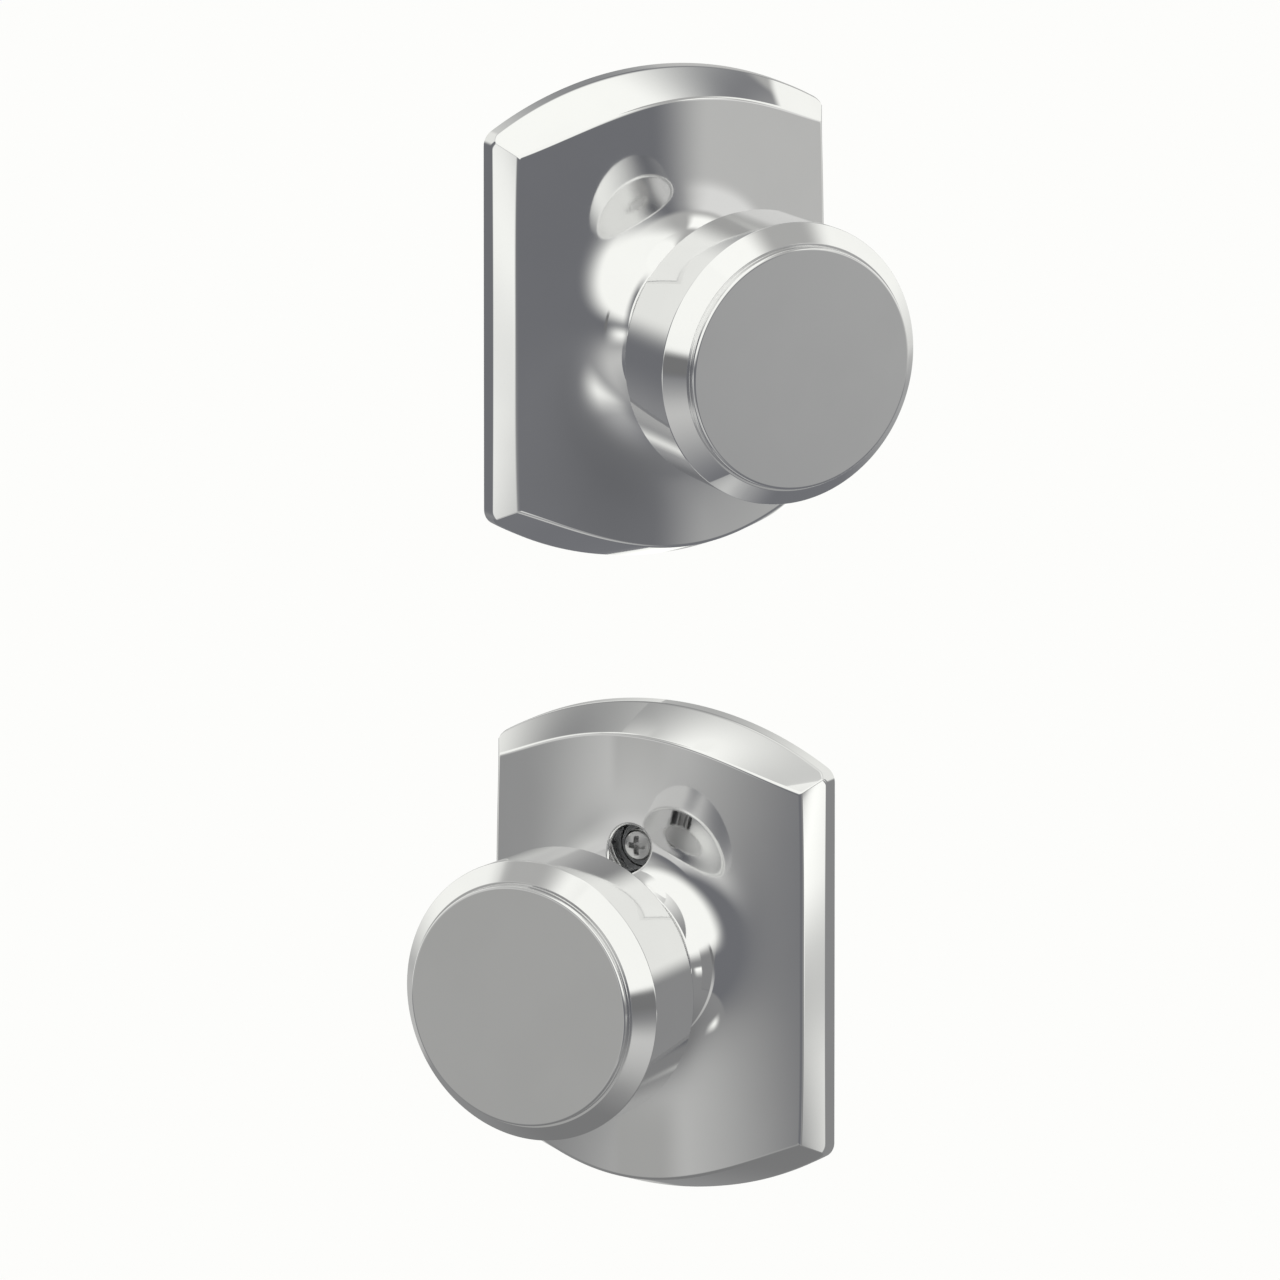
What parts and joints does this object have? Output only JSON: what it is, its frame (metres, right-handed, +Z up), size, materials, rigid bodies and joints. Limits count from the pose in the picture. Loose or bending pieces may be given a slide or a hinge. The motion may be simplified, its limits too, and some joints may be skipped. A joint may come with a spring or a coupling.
{
  "type": "passage knob set",
  "caption": "Door knob set with two sprung round knobs on tall arched roses; the outside half has the spindle and posts, the inside half the screws.",
  "frame": {"origin": "where the inside half's knob axis crosses its door face", "axes": "+Z up; the inside half's front faces -Y and its door face +Y; the outside half lies above it, turned 58 degrees about Z"},
  "size_m": [0.1024, 0.0834, 0.2033],
  "materials": {
    "polished_chrome": "mirror-polished chrome plate",
    "zinc_plated_steel": "zinc plated, satin",
    "bright_steel": "bright turned steel",
    "spring_steel": "oiled spring steel",
    "screw_steel": "bright plated",
    "cast_zinc": "die-cast, dull",
    "bearing_brass": "turned brass"
  },
  "bodies": {
    "set_body": {"outside_rose": "polished_chrome", "outside_mounting_plate": "zinc_plated_steel", "outside_bearing_bush": "bearing_brass", "outside_spring_cage": "zinc_plated_steel", "outside_return_spring": "spring_steel", "inside_rose": "polished_chrome", "inside_mounting_plate": "zinc_plated_steel", "inside_bearing_bush": "bearing_brass", "inside_spring_cage": "zinc_plated_steel", "inside_return_spring": "spring_steel", "outside_post_upper": "zinc_plated_steel", "outside_post_lower": "zinc_plated_steel", "inside_screw_upper": "screw_steel", "inside_screw_lower": "screw_steel"},
    "outside_knob": {"outside_knob_shell": "polished_chrome", "outside_knob_back": "polished_chrome", "outside_knob_hub": "cast_zinc", "outside_sleeve": "bright_steel", "outside_driver": "cast_zinc", "outside_thrust_washer": "zinc_plated_steel", "outside_retaining_ring": "spring_steel", "outside_catch_spring": "spring_steel", "outside_spindle": "zinc_plated_steel", "outside_spindle_pin": "spring_steel"},
    "inside_knob": {"inside_knob_shell": "polished_chrome", "inside_knob_back": "polished_chrome", "inside_knob_hub": "cast_zinc", "inside_sleeve": "bright_steel", "inside_driver": "cast_zinc", "inside_thrust_washer": "zinc_plated_steel", "inside_retaining_ring": "spring_steel", "inside_catch_spring": "spring_steel"},
    "outside_catch": {"outside_knob_catch": "bright_steel"},
    "inside_catch": {"inside_knob_catch": "bright_steel"}
  },
  "joints": [
    {"name": "outside_knob_turn", "type": "hinge", "parent": "set_body", "child": "outside_knob", "pos_m": [-0.00339, -0.00188, 0.1153], "axis": [0.848, -0.5299, 0], "range_deg": [-50, 50], "stiffness_Nm_per_rad": 0.35, "deforming": ["outside_return_spring"]},
    {"name": "inside_knob_turn", "type": "hinge", "parent": "set_body", "child": "inside_knob", "pos_m": [0, 0, 0], "axis": [0, -1, 0], "range_deg": [-50, 50], "stiffness_Nm_per_rad": 0.35, "deforming": ["inside_return_spring"]},
    {"name": "outside_catch_press", "type": "slide", "parent": "outside_knob", "child": "outside_catch", "axis": [0, 0, 1], "range_m": [0, 0.0018], "stiffness_N_per_m": 600, "springref_m": -0.002, "deforming": ["outside_catch_spring"]},
    {"name": "inside_catch_press", "type": "slide", "parent": "inside_knob", "child": "inside_catch", "axis": [0, 0, 1], "range_m": [0, 0.0018], "stiffness_N_per_m": 600, "springref_m": -0.002, "deforming": ["inside_catch_spring"]}
  ]
}
